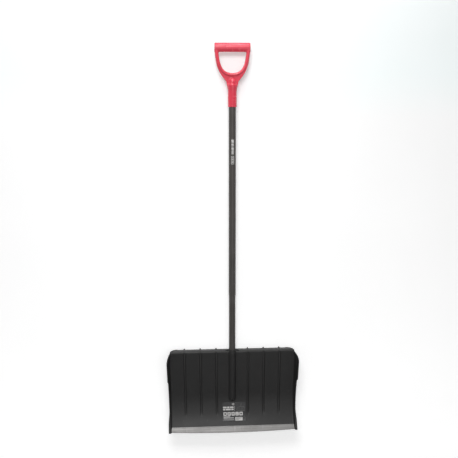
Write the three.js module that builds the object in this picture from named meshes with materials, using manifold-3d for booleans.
// A snow shovel: a moulded scoop with a riveted wear strip, a shaft of two tubes and a D-grip.
// Millimetres. +X is to the right, -Y is the front, where the scoop is hollow, and +Z runs up the
// shaft. The origin is the middle of the wear strip's underside.
import * as THREE from 'three';
import { mergeVertices } from 'three/addons/utils/BufferGeometryUtils.js';
import Module from 'manifold-3d';

const wasm = await Module();
wasm.setup();

const { lerp, clamp, smoothstep, degToRad } = THREE.MathUtils;

// ---- Driving dimensions ----

const fitGap = 0.3; // left between pieces that touch

// Scoop, one moulding. Its sheet runs up from the strip: flat, then an arc, then upright, then the lip.
const scoopWidth = 500; // across its lower corners
const scoopHeight = 309; // to the top of the lip
const sheetThickness = 3.6;
const leanAngle = degToRad(40); // of the flat part that carries the strip
const flatLength = 27;
const arcRadius = 180;
const lipRadius = 8;
const lipFlat = 20; // how far the lip runs back past its bend

// Its side walls stand forward and flare outwards, and rise to ears below the lip.
const wallThickness = 4;
const tipThickness = 9.5; // where a wall runs down beside the strip
const wallDepthLow = 6;
const wallDepthHigh = 31;
const earDepth = 10; // by which the ear stands further forward
const earBase = 197; // height of the step below the ear
const earSlope = 12; // height of that step
const wallFlare = 0.2;
const wallFillet = 5;
const filletKnee = 0.3; // share of the fillet that its middle point keeps
const filletLimit = 0.5; // most of a low wall that its fillet takes up
const wallTopGain = 3; // by which a wall deepens above the ear's step
const tipFadeEnd = 92; // along the sheet, where the tips have narrowed to the usual thickness
const rimHeight = 1; // what is left of a wall along the lip's ends
const topSpread = 4; // by which each wall stands further out at the top
const cornerWidth = 32;
const cornerHeight = 60; // measured along the sheet and over the lip

// Grooves down the front, each with a rib behind it.
const ribsPerSide = 3;
const ribPitchLow = 60.4;
const ribPitchHigh = 61.8;
const grooveHalfWidth = 4.5;
const grooveDepth = 3.6;
const grooveStart = 62; // along the sheet from the strip's underside
const grooveFade = 30;
const ribThickness = 5;
const ribDepthLow = 2;
const ribKnee = 122; // along the sheet, where a rib begins to deepen
const ribKneeDepth = 10;
const ribOverhang = 3; // past the lip's back edge
const ribNub = 4.2; // above the lip
const nubChamfer = 1.8;
const nubRun = 7.2; // forward of the lip's back edge, where a nub runs out

// Shaft tubes. The lower one stands in the scoop's socket, and the upper one is pushed over it.
const lowerTubeRadius = 12.5;
const lowerTubeWall = 0.9;
const upperTubeWall = 0.7;
const tubeStepHeight = 529; // where the upper tube ends
const tubeOverlap = 80;
const gripBaseHeight = 1243.5; // the lower end of the grip's sleeve

// Socket on the back of the scoop, which shows in front as a ridge.
const socketWall = 3.2;
const socketFloor = 114;
const socketFloorThickness = 10;
const socketNoseHeight = 14;
const ridgeDepth = 9; // by which the socket stands forward of the sheet
const socketCollar = 4.5; // above the lip
const archHalfWidth = 36; // the collar's slope down to the lip
const archDepth = 4.8;
const archSetback = 3.2; // behind the front of the scoop's upright part

// Wear strip, a U-profile over the scoop's lower edge.
const stripHeight = 25;
const stripNose = 7;
const stripSkin = 1.4;
const stripProud = 1; // of the sheet, on each side
const edgeCrown = 4.5; // by which the strip's ends are higher than its middle
const crownSteps = 11; // odd, so that the middle step is level
const rivetCount = 8;
const rivetHeight = 16;
const rivetRadius = 2;
const rivetHeadRadius = 3.7;
const rivetHeadHeight = 1.7;

// D-grip, one moulding. Heights are above the lower end of its sleeve.
const gripBarRadius = 17;
const gripBarDepth = 30;
const gripBarHalfLength = 65.8;
const gripBarCentre = 216.5;
const gripBarSides = 24;
const gripLipDepth = 25; // front to back
const gripWebDepth = 13;
const gripRingOuter = [[65.8, 206.5], [60.1, 154.9], [59, 135.9], [22.5, 92.8]];
const gripRingLip = [[65.3, 206], [60, 150], [42, 114.5], [0, 114.5]];
const gripOpening = [[51.5, 194.5], [46.1, 144], [33.8, 123.6], [0, 123.6]];
const gripOpeningTop = 199.5; // the flat under the bar
const gripOpeningFillet = 5.4;
const gripSleeveWall = 2.5;
const gripTaperLow = 60;
const gripTaperHigh = 76;
const gripShoulderRadius = 19.6;
const gripShoulderTop = 84;
const gripTongueRadius = 15.6; // of the round end above the shoulder
const gripTongueBase = 86;
const gripTongueTop = 91;
const gripDomeTop = 107.5;
const gripBoreDepth = 92;

// Fasteners
const screwRadius = 2;
const screwHeadRadius = 4.4;
const screwHeadHeight = 2.6;
const screwHeadRim = 1.2;
const screwReach = 4; // past the inner face of the last wall
const gripScrewHeight = 40; // above the lower end of the sleeve
const socketScrewLow = 150;
const socketScrewBelowLip = 26;
const jointRivetHeight = 30; // above the upper tube's end
const jointRivetRadius = 1.9;
const jointRivetHeadRadius = 4;
const jointRivetHeadHeight = 1.4;
const jointRivetBulb = 2.9;

// Labels, each a thin sheet that follows the face it is stuck to.
const labelThickness = 0.4;
const labelWidth = 92;
const labelOffset = 6; // of its middle, to the right
const labelLow = 43; // along the sheet
const labelHigh = 116;
const shaftLabelLow = 214; // below the sleeve's lower end
const shaftLabelHigh = 115;
const shaftLabelHalfAngle = degToRad(26);

// Steps of the round shapes
const tubeSides = 40;
const fastenerSides = 16;
const curveSteps = 12;
const arcSteps = 8;
const domeSteps = 5;
const mergeDistance = 1e-4;

// ---- Derived places ----

const upperTubeBore = lowerTubeRadius + fitGap;
const upperTubeRadius = upperTubeBore + upperTubeWall;
const gripBore = upperTubeRadius + fitGap;
const socketBore = lowerTubeRadius + fitGap;
const socketRadius = socketBore + socketWall;
const arcLength = arcRadius * leanAngle;
const arcEnd = flatLength + arcLength;

// The sheet's front face is a path in the YZ plane, measured from the strip's underside.
const pathStart = new THREE.Vector2(
    -sheetThickness / 2 * Math.cos(leanAngle),
    sheetThickness / 2 * Math.sin(leanAngle),
);
const flatEnd = pathStart.clone().add(direction(leanAngle).multiplyScalar(flatLength));
const uprightY = flatEnd.x + arcRadius * (1 - Math.cos(leanAngle));
const uprightStart = flatEnd.y + arcRadius * Math.sin(leanAngle);
const bendStart = arcEnd + scoopHeight - lipRadius - uprightStart;
const bendEnd = bendStart + lipRadius * Math.PI / 2;
const pathEnd = bendEnd + lipFlat;
const lipBack = uprightY + lipRadius + lipFlat;
const shaftY = uprightY + socketRadius - ridgeDepth;
const shaftTop = gripBaseHeight + gripBoreDepth - fitGap;
const stripHalf = scoopWidth / 2 - tipThickness - fitGap;

// Unit vector in the YZ plane that leans back from upright by an angle.
function direction(lean) {
    return new THREE.Vector2(Math.sin(lean), Math.cos(lean));
}

// How far the sheet leans back at a distance along its path.
function leanAt(s) {
    if (s <= flatLength) return leanAngle;
    if (s <= arcEnd) return leanAngle - (s - flatLength) / arcRadius;
    if (s <= bendStart) return 0;
    return Math.min((s - bendStart) / lipRadius, Math.PI / 2);
}

// A point of the YZ plane at a distance s along the sheet's front face and a depth n behind it.
function sheetPoint(s, n) {
    const lean = leanAt(s);
    const point = new THREE.Vector2();
    if (s <= flatLength) {
        point.copy(pathStart).addScaledVector(direction(leanAngle), s);
    } else if (s <= arcEnd) {
        point.set(uprightY - arcRadius * (1 - Math.cos(lean)), uprightStart - arcRadius * Math.sin(lean));
    } else if (s <= bendStart) {
        point.set(uprightY, uprightStart + s - arcEnd);
    } else {
        const past = Math.max(s - bendEnd, 0);
        point.set(uprightY + lipRadius * (1 - Math.cos(lean)) + past,
            scoopHeight - lipRadius * (1 - Math.sin(lean)));
    }
    return point.add(new THREE.Vector2(Math.cos(lean), -Math.sin(lean)).multiplyScalar(n));
}

// ---- Solids ----

function toSolid(geometry) {
    const plain = geometry.clone();
    plain.deleteAttribute('normal');
    plain.deleteAttribute('uv');
    const merged = mergeVertices(plain, mergeDistance);
    return new wasm.Manifold(new wasm.Mesh({
        numProp: 3,
        vertProperties: new Float32Array(merged.attributes.position.array),
        triVerts: new Uint32Array(merged.index.array),
    }));
}

function toGeometry(solid) {
    const mesh = solid.getMesh();
    const geometry = new THREE.BufferGeometry();
    geometry.setAttribute('position', new THREE.BufferAttribute(mesh.vertProperties, 3));
    geometry.setIndex(new THREE.BufferAttribute(mesh.triVerts, 1));
    geometry.computeVertexNormals();
    return geometry;
}

// Adds the solids of a list of geometries to the first one.
function joined(geometries) {
    return geometries.map(toSolid).reduce((whole, piece) => whole.add(piece));
}

function cut(solid, geometries) {
    return geometries.map(toSolid).reduce((rest, piece) => rest.subtract(piece), solid);
}

// A closed outline in the YZ plane, pulled along X between two places.
function alongX(outline, from, to) {
    const geometry = new THREE.ExtrudeGeometry(new THREE.Shape(outline), {
        depth: to - from,
        bevelEnabled: false,
    });
    const turn = new THREE.Matrix4().makeBasis(
        new THREE.Vector3(0, 1, 0), new THREE.Vector3(0, 0, 1), new THREE.Vector3(1, 0, 0));
    return geometry.applyMatrix4(turn).translate(from, 0, 0);
}

// A shape in the XZ plane, pulled along Y between two places.
function alongY(shape, from, to) {
    const geometry = new THREE.ExtrudeGeometry(shape, {
        depth: to - from,
        bevelEnabled: false,
        curveSegments: curveSteps,
    });
    return geometry.rotateX(Math.PI / 2).translate(0, to, 0);
}

// A profile of [radius, height] points, turned about a vertical axis.
function turned(profile, sides) {
    const points = profile.map(([radius, height]) => new THREE.Vector2(radius, height));
    return new THREE.LatheGeometry(points, sides).rotateX(Math.PI / 2);
}

// Profile points of a dome, from its rim at one height to its top at another.
function dome(radius, rim, top) {
    const points = [];
    for (let i = 0; i < domeSteps; i++) {
        const angle = i / domeSteps * Math.PI / 2;
        points.push([radius * Math.cos(angle), lerp(rim, top, Math.sin(angle))]);
    }
    points.push([0, top]);
    return points;
}

// The same as turned, about an axis that leaves a point in a given direction.
function turnedAt(profile, sides, point, axis) {
    const quaternion = new THREE.Quaternion().setFromUnitVectors(new THREE.Vector3(0, 0, 1), axis);
    return turned(profile, sides).applyQuaternion(quaternion).translate(point.x, point.y, point.z);
}

function tube(outer, inner, from, to) {
    const profile = [[inner, from], [outer, from], [outer, to], [inner, to], [inner, from]];
    return turned(profile, tubeSides).translate(0, shaftY, 0);
}

// Joins closed loops of equal length into one skin, with a cap at each end. Every loop is a list of
// [x, n] points with the place along the sheet that they belong to.
function loft(stations) {
    const size = stations[0].loop.length;
    const positions = [];
    for (const { s, loop } of stations) {
        for (const [x, n] of loop) {
            const point = sheetPoint(s, n);
            positions.push(x, point.x, point.y);
        }
    }
    const index = [];
    for (let row = 0; row + 1 < stations.length; row++) {
        for (let i = 0; i < size; i++) {
            const a = row * size + i;
            const b = row * size + (i + 1) % size;
            index.push(a, b, b + size, a, b + size, a + size);
        }
    }
    const capOf = (loop) => THREE.ShapeUtils.triangulateShape(
        loop.map(([x, n]) => new THREE.Vector2(x, n)), []);
    for (const [a, b, c] of capOf(stations[0].loop)) index.push(a, c, b);
    const last = (stations.length - 1) * size;
    for (const [a, b, c] of capOf(stations.at(-1).loop)) index.push(last + a, last + b, last + c);
    const geometry = new THREE.BufferGeometry();
    geometry.setAttribute('position', new THREE.Float32BufferAttribute(positions, 3));
    geometry.setIndex(index);
    return geometry;
}

// ---- Scoop ----

// How far a side wall stands forward of the sheet.
function wallDepthAt(s) {
    const earStart = arcEnd + earBase - uprightStart;
    const along = Math.min(s / earStart, 1);
    const depth = lerp(wallDepthLow, wallDepthHigh, along)
        + earDepth * smoothstep(s, earStart - earSlope / 2, earStart + earSlope / 2)
        + wallTopGain * smoothstep(s, earStart, bendStart);
    const fadeStart = bendStart - cornerHeight / 2;
    const fade = clamp((s - fadeStart) / (bendStart - fadeStart), 0, 1);
    return Math.max(depth * Math.sqrt(1 - fade * fade), rimHeight);
}

function wallThicknessAt(s) {
    return lerp(tipThickness, wallThickness, smoothstep(s, stripHeight, tipFadeEnd));
}

// Half the width between the side walls, where they meet the sheet.
function innerHalfAt(s) {
    const low = scoopWidth / 2 - tipThickness - wallFlare * wallDepthLow;
    const spread = topSpread * smoothstep(s, arcEnd, bendStart);
    const cornerStart = pathEnd - cornerHeight;
    const u = clamp((s - cornerStart) / cornerHeight, 0, 1);
    return low + spread - cornerWidth * (1 - Math.sqrt(1 - u * u));
}

function ribPitchAt(s) {
    return lerp(ribPitchLow, ribPitchHigh, smoothstep(s, 0, bendStart));
}

function grooveDepthAt(s) {
    const rise = smoothstep(s, grooveStart, grooveStart + grooveFade);
    return grooveDepth * rise * (1 - smoothstep(s, bendStart - lipRadius, bendStart + lipRadius));
}

const ribNumbers = [];
for (let i = -ribsPerSide; i <= ribsPerSide; i++) {
    if (i !== 0) ribNumbers.push(i);
}

// One closed section across the scoop: the front from left to right, then the back.
function scoopSection(s) {
    const half = innerHalfAt(s);
    const depth = wallDepthAt(s);
    const wall = wallThicknessAt(s);
    const groove = grooveDepthAt(s);
    const fillet = Math.min(wallFillet, depth * filletLimit);
    const side = [
        [half - wallFillet, 0],
        [half - wallFillet * filletKnee, -fillet * filletKnee],
        [half, -fillet],
        [half + wallFlare * depth, -depth],
        [half + wallFlare * depth + wall, -depth],
        [half + wall, sheetThickness],
    ];
    const mirrored = side.map(([x, n]) => [-x, n]).reverse();
    const valley = (x, wider, level) => [
        [x - grooveHalfWidth - wider, level],
        [x - grooveHalfWidth / 2 - wider, level + groove],
        [x + grooveHalfWidth / 2 + wider, level + groove],
        [x + grooveHalfWidth + wider, level],
    ];
    const centres = ribNumbers.map((i) => i * ribPitchAt(s));
    const front = centres.flatMap((x) => valley(x, 0, 0));
    const back = centres.flatMap((x) => valley(x, sheetThickness / 4, sheetThickness)).reverse();
    return { s, loop: [...mirrored, ...front, ...side, ...back] };
}

function scoopStations() {
    const places = [-2 * sheetThickness, flatLength];
    for (let i = 1; i <= arcSteps; i++) places.push(flatLength + arcLength * i / arcSteps);
    const earStart = arcEnd + earBase - uprightStart;
    places.push(earStart - earSlope / 2, earStart, earStart + earSlope / 2);
    // Closer together towards the top, where the corners turn.
    const steps = 4;
    for (let i = 0; i < steps; i++) {
        places.push(lerp(earStart + 2 * earSlope, bendStart, Math.sin(i / steps * Math.PI / 2)));
    }
    for (let i = 0; i < steps; i++) places.push(lerp(bendStart, bendEnd, i / steps));
    for (let i = 0; i <= steps; i++) {
        places.push(lerp(bendEnd, pathEnd, Math.sin(i / steps * Math.PI / 2)));
    }
    return places.map(scoopSection);
}

// A rib behind the sheet: a web that fills the corner under the lip and ends in a nub above it.
function ribOutline() {
    const inside = sheetThickness / 2;
    const outline = [];
    const steps = 6;
    for (let i = 0; i <= steps; i++) {
        const s = lerp(arcEnd, grooveStart, i / steps);
        outline.push(sheetPoint(s, inside));
    }
    outline.push(sheetPoint(grooveStart, sheetThickness + ribDepthLow));
    const ribBack = lipBack + ribOverhang;
    const nubTop = scoopHeight + ribNub;
    outline.push(sheetPoint(ribKnee, sheetThickness + ribKneeDepth));
    outline.push(new THREE.Vector2(ribBack, scoopHeight - lipRadius));
    outline.push(new THREE.Vector2(ribBack, nubTop - nubChamfer));
    outline.push(new THREE.Vector2(ribBack - nubChamfer, nubTop));
    outline.push(new THREE.Vector2(lipBack - nubChamfer, nubTop));
    outline.push(new THREE.Vector2(lipBack - nubRun, scoopHeight - inside));
    outline.push(sheetPoint(bendStart + lipRadius, inside));
    outline.push(sheetPoint(bendStart, inside));
    return outline;
}

// The ribs stand a little closer together at the bottom, so each one leans by that much.
function rib(number) {
    const geometry = alongX(ribOutline(), -ribThickness / 2, ribThickness / 2);
    const position = geometry.attributes.position;
    for (let i = 0; i < position.count; i++) {
        const s = clamp(arcEnd + position.getZ(i) - uprightStart, grooveStart, bendStart);
        position.setX(i, position.getX(i) + number * ribPitchAt(s));
    }
    return geometry;
}

// Round nosed body around the lower tube, open at the top once it is bored.
function socketBody() {
    const nose = socketFloor - socketFloorThickness;
    const profile = [
        ...dome(socketRadius, nose + socketNoseHeight, nose).reverse(),
        [socketRadius, scoopHeight + socketCollar],
        [0, scoopHeight + socketCollar],
    ];
    return turned(profile, tubeSides).translate(0, shaftY, 0);
}

function socketArch() {
    const top = scoopHeight + socketCollar;
    const foot = scoopHeight - sheetThickness / 2;
    const middle = (archHalfWidth + socketRadius) / 2;
    const shape = new THREE.Shape();
    shape.moveTo(-archHalfWidth, foot);
    shape.lineTo(archHalfWidth, foot);
    shape.bezierCurveTo(middle, scoopHeight, middle, top, socketRadius, top);
    shape.lineTo(-socketRadius, top);
    shape.bezierCurveTo(-middle, top, -middle, scoopHeight, -archHalfWidth, foot);
    return alongY(shape, uprightY + archSetback, uprightY + archSetback + archDepth);
}

function socketHole() {
    const profile = [
        [0, socketFloor],
        [socketBore, socketFloor],
        [socketBore, scoopHeight + 2 * socketCollar],
        [0, scoopHeight + 2 * socketCollar],
    ];
    return turned(profile, tubeSides).translate(0, shaftY, 0);
}

// Room for the strip around the scoop's lower edge, which leaves a thinner tongue between its skins.
function stripRoom() {
    const top = stripHeight + fitGap;
    const below = -2 * sheetThickness;
    const outside = sheetThickness + 4 * stripProud;
    const tongue = stripSkin - stripProud + fitGap;
    const slab = (from, to, low, high) => alongX([
        sheetPoint(low, from), sheetPoint(low, to), sheetPoint(high, to), sheetPoint(high, from),
    ].reverse(), -stripHalf - fitGap, stripHalf + fitGap);
    return [
        slab(-outside, tongue, below, top),
        slab(sheetThickness - tongue, outside, below, top),
        slab(-outside, outside, below, stripNose + fitGap),
    ];
}

// Everything below the level of the scoop's lower corners.
function belowCorners() {
    const reach = scoopWidth;
    return alongX([
        new THREE.Vector2(-reach, -reach), new THREE.Vector2(reach, -reach),
        new THREE.Vector2(reach, edgeCrown), new THREE.Vector2(-reach, edgeCrown),
    ], -reach, reach);
}

function scoop() {
    const body = joined([
        loft(scoopStations()),
        ...ribNumbers.map(rib),
        socketBody(),
        socketArch(),
    ]);
    return cut(body, [
        socketHole(),
        belowCorners(),
        ...stripRoom(),
        ...rivetPlaces().map(rivetHole),
        ...socketScrewHeights().map(socketScrewHole),
    ]);
}

// ---- Wear strip and its rivets ----

function stripOutline() {
    const slot = stripSkin - stripProud;
    const far = sheetThickness + stripProud;
    return [
        sheetPoint(-2 * sheetThickness, -stripProud),
        sheetPoint(-2 * sheetThickness, far),
        sheetPoint(stripHeight, far),
        sheetPoint(stripHeight, sheetThickness - slot),
        sheetPoint(stripNose, sheetThickness - slot),
        sheetPoint(stripNose, slot),
        sheetPoint(stripHeight, slot),
        sheetPoint(stripHeight, -stripProud),
    ].reverse();
}

// The strip's lower edge seen from the front: level in the middle and rising to its ends.
function crownShape() {
    const shape = new THREE.Shape();
    const top = 3 * stripHeight;
    shape.moveTo(stripHalf, top);
    shape.lineTo(-stripHalf, top);
    for (let i = 0; i <= crownSteps; i++) {
        const u = 2 * i / crownSteps - 1;
        shape.lineTo(u * stripHalf, edgeCrown * (u * u - 1 / crownSteps ** 2));
    }
    return shape;
}

function wearStrip() {
    const bar = toSolid(alongX(stripOutline(), -stripHalf, stripHalf));
    const trimmed = bar.intersect(toSolid(alongY(crownShape(), -2 * stripHeight, 2 * stripHeight)));
    return cut(trimmed, rivetPlaces().map(rivetHole));
}

function rivetPlaces() {
    const pitch = 2 * stripHalf / rivetCount;
    const places = [];
    for (let i = 0; i < rivetCount; i++) {
        const point = sheetPoint(rivetHeight, 0);
        places.push(new THREE.Vector3((i - (rivetCount - 1) / 2) * pitch, point.x, point.y));
    }
    return places;
}

const rivetAxis = new THREE.Vector3(0, Math.cos(leanAngle), -Math.sin(leanAngle));

// Flush in the strip's front skin, with a domed head behind its back skin.
function rivet(place) {
    const backFace = sheetThickness + stripProud + fitGap;
    const profile = [
        [0, -stripProud],
        [rivetHeadRadius, -stripProud],
        [rivetRadius, stripSkin - stripProud],
        [rivetRadius, backFace],
        ...dome(rivetHeadRadius, backFace, backFace + rivetHeadHeight),
    ];
    return turnedAt(profile, fastenerSides, place, rivetAxis);
}

function rivetHole(place) {
    const profile = [
        [0, -2 * stripProud],
        [rivetHeadRadius + fitGap, -2 * stripProud],
        [rivetHeadRadius + fitGap, -stripProud],
        [rivetRadius + fitGap, stripSkin - stripProud],
        [rivetRadius + fitGap, sheetThickness + 2 * stripProud],
        [0, sheetThickness + 2 * stripProud],
    ];
    return turnedAt(profile, fastenerSides, place, rivetAxis);
}

// ---- Screws and the joint's rivet ----

// Heights of the screws that hold the lower tube in its socket.
function socketScrewHeights() {
    return [socketScrewLow, scoopHeight - socketScrewBelowLip];
}

// A pan headed screw. Its head's underside is at the given place, and its tip points away from axis.
function screw(place, axis, length) {
    const profile = [
        [0, -length],
        [screwRadius, -length + screwRadius],
        [screwRadius, 0],
        [screwHeadRadius, 0],
        ...dome(screwHeadRadius, screwHeadRim, screwHeadHeight),
    ];
    return turnedAt(profile, fastenerSides, place, axis);
}

function roundHole(radius, place, axis, from, to) {
    const profile = [[0, from], [radius, from], [radius, to], [0, to]];
    return turnedAt(profile, fastenerSides, place, axis);
}

const backwards = new THREE.Vector3(0, 1, 0);

function shaftPoint(height) {
    return new THREE.Vector3(0, shaftY, height);
}

function socketScrew(height) {
    const place = shaftPoint(height);
    place.y += socketRadius + fitGap;
    const inner = lowerTubeRadius - lowerTubeWall;
    return screw(place, backwards, socketRadius + fitGap - inner + screwReach);
}

function socketScrewHole(height) {
    return roundHole(screwRadius + fitGap, shaftPoint(height), backwards, 0, 2 * socketRadius);
}

function gripScrew() {
    const place = shaftPoint(gripBaseHeight + gripScrewHeight);
    const seat = gripBore + gripSleeveWall + fitGap;
    place.y += seat;
    const inner = upperTubeRadius - upperTubeWall;
    return screw(place, backwards, seat - inner + screwReach);
}

function gripScrewHole() {
    const place = shaftPoint(gripBaseHeight + gripScrewHeight);
    return roundHole(screwRadius + fitGap, place, backwards, 0, 2 * gripShoulderRadius);
}

function jointHole() {
    const place = shaftPoint(tubeStepHeight + jointRivetHeight);
    return roundHole(jointRivetRadius + fitGap, place, backwards, 0, 2 * upperTubeRadius);
}

// A blind rivet through both tubes, its bulb spread inside the lower one.
function jointRivet() {
    const head = upperTubeRadius + fitGap;
    const inner = lowerTubeRadius - lowerTubeWall - fitGap;
    const profile = [
        ...dome(jointRivetBulb, inner - jointRivetBulb, inner - 2 * jointRivetBulb).reverse(),
        [jointRivetBulb, inner - jointRivetRadius / 2],
        [jointRivetRadius, inner],
        [jointRivetRadius, head],
        ...dome(jointRivetHeadRadius, head, head + jointRivetHeadHeight),
    ];
    return turnedAt(profile, fastenerSides, shaftPoint(tubeStepHeight + jointRivetHeight), backwards);
}

// ---- Tubes ----

function lowerTube() {
    const top = tubeStepHeight + tubeOverlap;
    const wall = tube(lowerTubeRadius, lowerTubeRadius - lowerTubeWall, socketFloor + fitGap, top);
    return cut(toSolid(wall), [...socketScrewHeights().map(socketScrewHole), jointHole()]);
}

function upperTube() {
    const wall = tube(upperTubeRadius, upperTubeBore, tubeStepHeight, shaftTop);
    return cut(toSolid(wall), [jointHole(), gripScrewHole()]);
}

// ---- D-grip ----

// A shape from a curve's right half, mirrored to the left and closed across its top. Where the curve
// ends beside the neck, the shape runs on down to the shoulder.
function mirroredShape(controls, top) {
    const right = controls.map(([x, z]) => [x, z + gripBaseHeight]);
    const [[x0, z0], [x1, z1], [x2, z2], [x3, z3]] = right;
    const shape = new THREE.Shape();
    shape.moveTo(-x0, top);
    shape.lineTo(-x0, z0);
    shape.bezierCurveTo(-x1, z1, -x2, z2, -x3, z3);
    if (x3 > 0) {
        shape.lineTo(-gripShoulderRadius, gripBaseHeight + gripTaperHigh);
        shape.lineTo(gripShoulderRadius, gripBaseHeight + gripTaperHigh);
        shape.lineTo(x3, z3);
    }
    shape.bezierCurveTo(x2, z2, x1, z1, x0, z0);
    shape.lineTo(x0, top);
    return shape;
}

// The hand opening, up to a height above the lower end of the sleeve.
function openingShape(height) {
    const [[x0, z0], [x1, z1], [x2, z2], [x3, z3]] = gripOpening.map(([x, z]) => [x, z + gripBaseHeight]);
    const top = gripBaseHeight + height;
    const shape = new THREE.Shape();
    shape.moveTo(x0 - gripOpeningFillet, top);
    shape.lineTo(-x0 + gripOpeningFillet, top);
    shape.quadraticCurveTo(-x0, top, -x0, z0);
    shape.bezierCurveTo(-x1, z1, -x2, z2, -x3, z3);
    shape.bezierCurveTo(x2, z2, x1, z1, x0, z0);
    shape.quadraticCurveTo(x0, top, x0 - gripOpeningFillet, top);
    return shape;
}

// Oval bar across the top.
function gripBar() {
    const outline = [];
    for (let i = 0; i < gripBarSides; i++) {
        const angle = (i + 0.5) / gripBarSides * 2 * Math.PI;
        const y = shaftY + gripBarDepth / 2 * Math.cos(angle);
        const z = gripBaseHeight + gripBarCentre + gripBarRadius * Math.sin(angle);
        outline.push(new THREE.Vector2(y, z));
    }
    return alongX(outline, -gripBarHalfLength, gripBarHalfLength);
}

// Sleeve, taper, shoulder and round-ended tongue around the upper tube.
function gripNeck() {
    const sleeve = gripBore + gripSleeveWall;
    const profile = [
        [0, 0],
        [sleeve, 0],
        [sleeve, gripTaperLow],
        [gripShoulderRadius, gripTaperHigh],
        [gripShoulderRadius, gripShoulderTop],
        [gripTongueRadius, gripTongueBase],
        ...dome(gripTongueRadius, gripTongueTop, gripDomeTop),
    ];
    return turned(profile, tubeSides).translate(0, shaftY, gripBaseHeight);
}

function gripHole() {
    const profile = [[0, -gripBore], [gripBore, -gripBore], [gripBore, gripBoreDepth], [0, gripBoreDepth]];
    return turned(profile, tubeSides).translate(0, shaftY, gripBaseHeight);
}

// A plate of the ring around the hand opening, from front to back of a given depth.
function gripPlate(outer, depth, openingTop) {
    const plate = alongY(mirroredShape(outer, gripBaseHeight + gripBarCentre),
        shaftY - depth / 2, shaftY + depth / 2);
    return cut(toSolid(plate), [alongY(openingShape(openingTop), shaftY - depth, shaftY + depth)]);
}

// The thin web is the ring's outer part and the bar's flat underside, and the deep lip is what the
// hand holds on to.
function dGrip() {
    const web = gripPlate(gripRingOuter, gripWebDepth, gripOpeningTop);
    const lip = gripPlate(gripRingLip, gripLipDepth, gripBarCentre);
    const whole = web.add(lip).add(toSolid(gripBar())).add(toSolid(gripNeck()));
    return cut(whole, [gripHole(), gripScrewHole()]);
}

// ---- Labels ----

function bladeLabel() {
    const steps = 8;
    const near = [];
    const far = [];
    for (let i = 0; i <= steps; i++) {
        const s = lerp(labelLow, labelHigh, i / steps);
        near.push(sheetPoint(s, -fitGap));
        far.push(sheetPoint(s, -fitGap - labelThickness));
    }
    return alongX([...near, ...far.reverse()], labelOffset - labelWidth / 2, labelOffset + labelWidth / 2);
}

function shaftLabel() {
    const near = upperTubeRadius + fitGap;
    const shape = new THREE.Shape();
    const left = -Math.PI / 2 - shaftLabelHalfAngle;
    const right = -Math.PI / 2 + shaftLabelHalfAngle;
    shape.absarc(0, 0, near + labelThickness, left, right, false);
    shape.absarc(0, 0, near, right, left, true);
    const geometry = new THREE.ExtrudeGeometry(shape, {
        depth: shaftLabelLow - shaftLabelHigh,
        bevelEnabled: false,
        curveSegments: curveSteps,
    });
    return geometry.translate(0, shaftY, gripBaseHeight - shaftLabelLow);
}

// ---- Materials and the group ----

const looks = {
    blackPlastic: { color: 0x2e2d2c, roughness: 0.62, metalness: 0 },
    redPlastic: { color: 0xd22f49, roughness: 0.42, metalness: 0 },
    aluminium: { color: 0xb4b0aa, roughness: 0.36, metalness: 0.9 },
    coatedSteel: { color: 0x423f3d, roughness: 0.45, metalness: 0.3 },
    zincSteel: { color: 0x9c9d9e, roughness: 0.35, metalness: 0.9 },
    blackFilm: { color: 0x161616, roughness: 0.35, metalness: 0 },
    whiteFilm: { color: 0xe8e7e3, roughness: 0.4, metalness: 0 },
};

const shovel = new THREE.Group();
shovel.name = 'snow_shovel';

function place(name, geometry, look) {
    const mesh = new THREE.Mesh(geometry, new THREE.MeshStandardMaterial(look));
    mesh.name = name;
    shovel.add(mesh);
}

place('blade', toGeometry(scoop()), looks.blackPlastic);
place('wear_strip', toGeometry(wearStrip()), looks.aluminium);
rivetPlaces().forEach((spot, i) => place(`strip_rivet_${i + 1}`, rivet(spot), looks.aluminium));
place('lower_tube', toGeometry(lowerTube()), looks.coatedSteel);
place('upper_tube', toGeometry(upperTube()), looks.coatedSteel);
place('tube_joint_rivet', jointRivet(), looks.zincSteel);
socketScrewHeights().forEach((height, i) => {
    place(`socket_screw_${i + 1}`, socketScrew(height), looks.zincSteel);
});
place('d_grip', toGeometry(dGrip()), looks.redPlastic);
place('grip_screw', gripScrew(), looks.zincSteel);
place('blade_label', bladeLabel(), looks.blackFilm);
place('shaft_label', shaftLabel(), looks.whiteFilm);

export default shovel;
